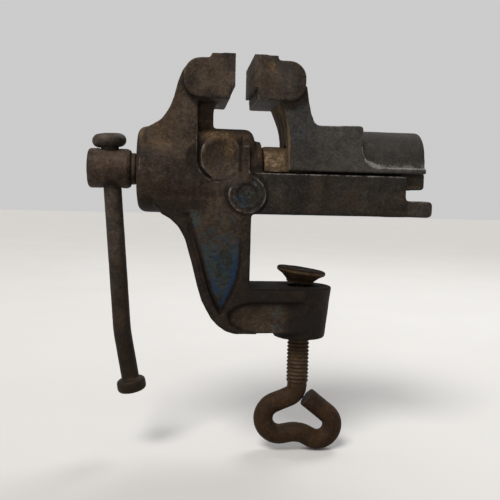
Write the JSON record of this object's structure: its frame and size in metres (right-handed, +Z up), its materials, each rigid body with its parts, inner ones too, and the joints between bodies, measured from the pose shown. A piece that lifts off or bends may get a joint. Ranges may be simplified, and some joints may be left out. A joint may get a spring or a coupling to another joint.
{
  "type": "clamp-on bench vise",
  "caption": "Small clamp-on bench vise with a sliding rear jaw, a screw with a sliding tommy bar, and a C-clamp with a looped clamp screw and swivel pad.",
  "frame": {"origin": "on the flat bench rest under the beam, midway across the vise, straight above the clamp screw", "axes": "+X along the main screw from the tommy bar towards the rear of the beam, +Y across the jaws, +Z up from the bench rest to the jaws"},
  "size_m": [0.2087, 0.052, 0.2429],
  "materials": {
    "casting": "old cast iron, dark brown patina with rust and traces of blue paint",
    "slide_casting": "old cast iron, dark grey-brown, worn bright on the edges",
    "jaw_steel": "dark steel, dull, lightly rusted",
    "rusty_nut": "heavily rusted, bright ochre",
    "screw_steel": "dark rusted steel",
    "bar_steel": "dark brown steel, satin from handling",
    "clamp_steel": "rusted steel rod",
    "pad_steel": "rusted steel",
    "keeper_steel": "dark rusted steel",
    "pin_steel": "dull steel"
  },
  "bodies": {
    "frame": {"body": "casting", "front_jaw_plate": "jaw_steel", "front_jaw_rivets": "pin_steel", "stop_pin": "pin_steel"},
    "slide": {"sliding_jaw": "slide_casting", "rear_jaw_plate": "jaw_steel", "rear_jaw_rivets": "pin_steel", "main_nut": "rusty_nut", "nut_pin": "pin_steel", "keeper_plate": "keeper_steel", "keeper_screws": "pin_steel"},
    "screw": {"main_screw": "screw_steel", "retaining_collar": "keeper_steel", "collar_pin": "pin_steel"},
    "tommy": {"tommy_bar": "bar_steel", "tommy_cap": "bar_steel"},
    "swivel": {"swivel_ball": "pin_steel"},
    "clamp": {"clamp_screw": "clamp_steel"},
    "pad": {"swivel_pad": "pad_steel", "pad_ring": "pin_steel"}
  },
  "joints": [
    {"name": "jaw_slide", "type": "slide", "parent": "frame", "child": "slide", "axis": [1, 0, 0], "range_m": [-0.0105, 0.036]},
    {"name": "screw_turn", "type": "hinge", "parent": "frame", "child": "screw", "pos_m": [-0.12, 0, 0.0256], "axis": [1, 0, 0], "range_deg": [-2593, 757]},
    {"name": "tommy_slide", "type": "slide", "parent": "screw", "child": "tommy", "axis": [-0.0732, 0, 0.9973], "range_m": [0, 0.08]},
    {"name": "clamp_slide", "type": "slide", "parent": "frame", "child": "swivel", "axis": [0, 0, 1], "range_m": [0, 0.028]},
    {"name": "clamp_turn", "type": "hinge", "parent": "swivel", "child": "clamp", "pos_m": [0, 0, -0.0389], "axis": [0, 0, 1], "range_deg": [-1, 4201]},
    {"name": "pad_tilt", "type": "hinge", "parent": "swivel", "child": "pad", "pos_m": [0, 0, -0.0389], "axis": [0, 1, 0], "range_deg": [-15, 0]}
  ],
  "couplings": [
    {"joint": "screw_turn", "follows": "jaw_slide", "rad_per_m": -1256.6},
    {"joint": "clamp_turn", "follows": "clamp_slide", "rad_per_m": 2618}
  ]
}
